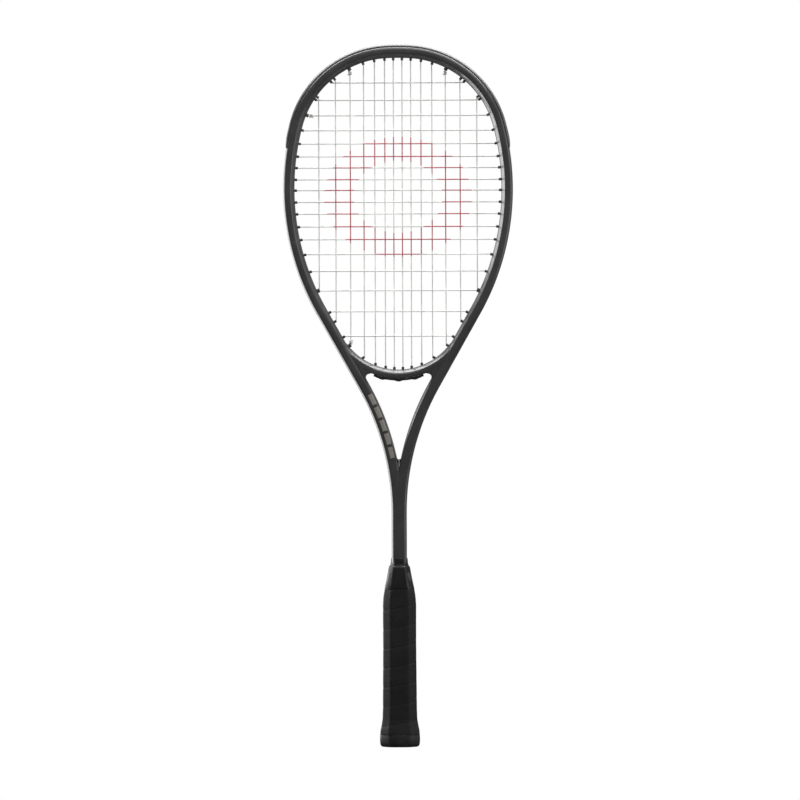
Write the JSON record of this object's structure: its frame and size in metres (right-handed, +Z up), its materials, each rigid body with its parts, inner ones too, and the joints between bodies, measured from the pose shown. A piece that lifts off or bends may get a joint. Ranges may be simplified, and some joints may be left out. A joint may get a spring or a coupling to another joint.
{
  "type": "squash racket",
  "caption": "Squash racket with an oval strung head, an open V throat, a slim shaft and a wrapped eight-sided grip.",
  "frame": {"origin": "centre of the butt's bottom face", "axes": "+Z up the shaft from the butt to the head, X across the strung head, the strings in the plane Y = 0 and the front face towards -Y"},
  "size_m": [0.2246, 0.0352, 0.6858],
  "materials": {
    "carbon_frame": "satin charcoal lacquer over carbon composite",
    "carbon_bridge": "satin charcoal lacquer over carbon composite",
    "foam": "rigid moulded foam",
    "guard_nylon": "matt black nylon with fine moulded grain",
    "grommet_nylon": "satin black nylon",
    "string": "pale translucent multifilament, with a plain red stencilled ring",
    "string_cross": "pale translucent multifilament, with a plain red stencilled ring",
    "handle_foam": "moulded rigid polyurethane",
    "cap_rubber": "matt black",
    "badge": "satin dark grey",
    "staple_wire": "zinc plated wire",
    "grip_leather": "black perforated synthetic leather, tacky",
    "tape": "black vinyl tape",
    "collar_rubber": "smooth satin black rubber"
  },
  "bodies": {
    "root": {"frame_tube": "carbon_frame", "throat_bridge": "carbon_bridge", "bridge_core": "foam", "head_guard": "guard_nylon", "grommet_strip_left": "grommet_nylon", "grommet_strip_right": "grommet_nylon", "grommet_strip_throat": "grommet_nylon", "main_string": "string", "cross_string": "string_cross", "handle_half_front": "handle_foam", "handle_half_back": "handle_foam", "butt_cap": "cap_rubber", "butt_badge": "badge", "cap_staples": "staple_wire", "grip_staple": "staple_wire", "grip_tape": "grip_leather", "finishing_tape": "tape", "collar": "collar_rubber"}
  },
  "joints": []
}
